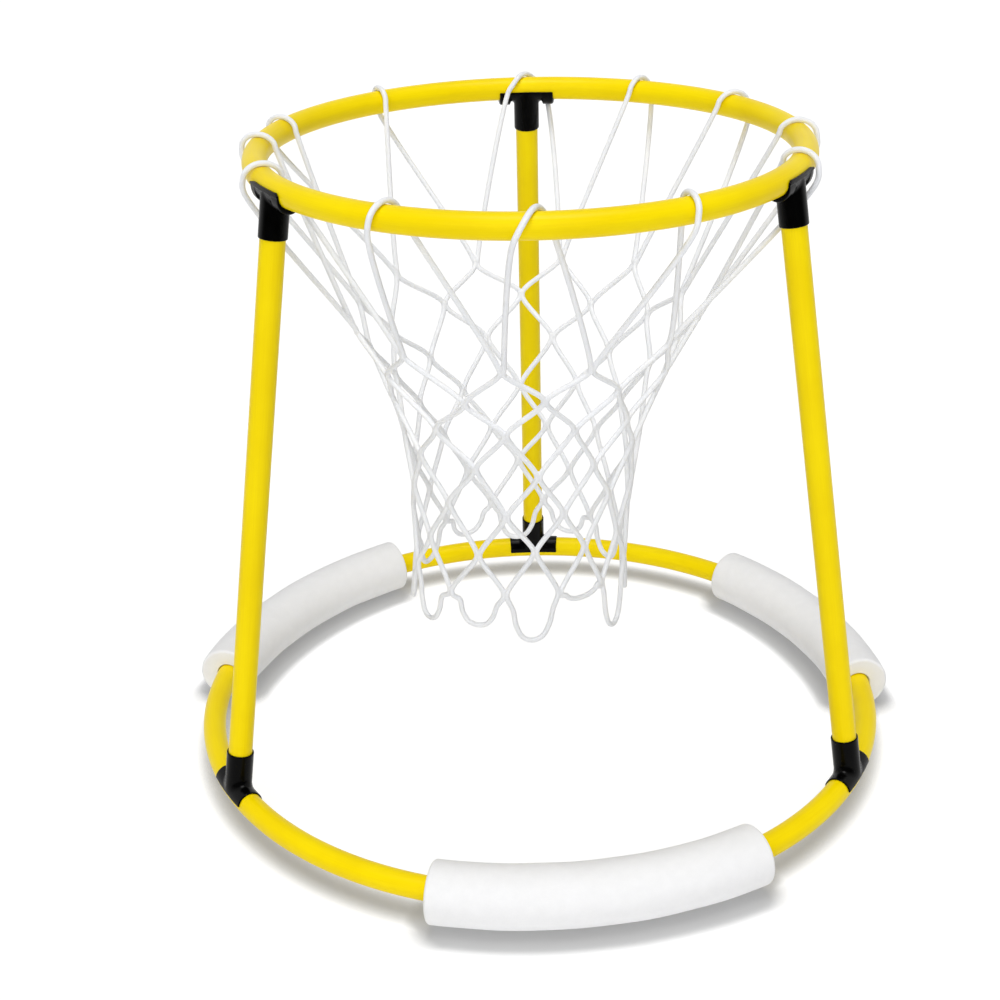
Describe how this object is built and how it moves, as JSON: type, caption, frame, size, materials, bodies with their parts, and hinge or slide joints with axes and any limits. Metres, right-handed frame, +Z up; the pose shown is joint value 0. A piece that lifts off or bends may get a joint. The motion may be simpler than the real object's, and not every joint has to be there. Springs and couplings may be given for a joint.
{
  "type": "poolside basketball hoop",
  "caption": "Free-standing tube basketball hoop for a pool: round rim with a cord net on leaning legs over a round base ring with sliding foam floats and saddle tees.",
  "frame": {"origin": "on the floor, under the middle of the footprint, at the level of the undersides of the floats", "axes": "+Z up through the rim and the net, +X to the right of someone facing the front of the hoop, the front faces -Y"},
  "size_m": [0.805, 0.7852, 0.6885],
  "materials": {
    "yellow_tube": "satin",
    "black_fitting": "satin",
    "white_foam": "matte",
    "white_cord": "matte"
  },
  "bodies": {
    "frame": {"rim_tube": "yellow_tube", "rim_joint_plug": "black_fitting", "base_ring_tube": "yellow_tube", "base_joint_plug": "black_fitting", "rim_tee_back": "black_fitting", "rim_tee_left": "black_fitting", "rim_tee_right": "black_fitting", "base_tee_back": "black_fitting", "base_tee_left": "black_fitting", "base_tee_right": "black_fitting", "leg_back": "yellow_tube", "leg_left": "yellow_tube", "leg_right": "yellow_tube", "net_cord_01": "white_cord", "net_cord_02": "white_cord", "net_cord_03": "white_cord", "net_cord_04": "white_cord", "net_cord_05": "white_cord", "net_cord_06": "white_cord", "net_cord_07": "white_cord", "net_cord_08": "white_cord", "net_cord_09": "white_cord", "net_cord_10": "white_cord", "net_cord_11": "white_cord", "net_cord_12": "white_cord"},
    "front_float": {"float_front": "white_foam"},
    "left_float": {"float_left": "white_foam"},
    "right_float": {"float_right": "white_foam"}
  },
  "joints": [
    {"name": "front_float_slide", "type": "hinge", "parent": "frame", "child": "front_float", "pos_m": [-0.00264, 0.0076, 0.032], "axis": [0, 0, 1], "range_deg": [-37.9, 21.7]},
    {"name": "left_float_slide", "type": "hinge", "parent": "frame", "child": "left_float", "pos_m": [-0.00264, 0.0076, 0.032], "axis": [0, 0, 1], "range_deg": [-24.1, 32.5]},
    {"name": "right_float_slide", "type": "hinge", "parent": "frame", "child": "right_float", "pos_m": [-0.00264, 0.0076, 0.032], "axis": [0, 0, 1], "range_deg": [-24.1, 36.5]}
  ]
}
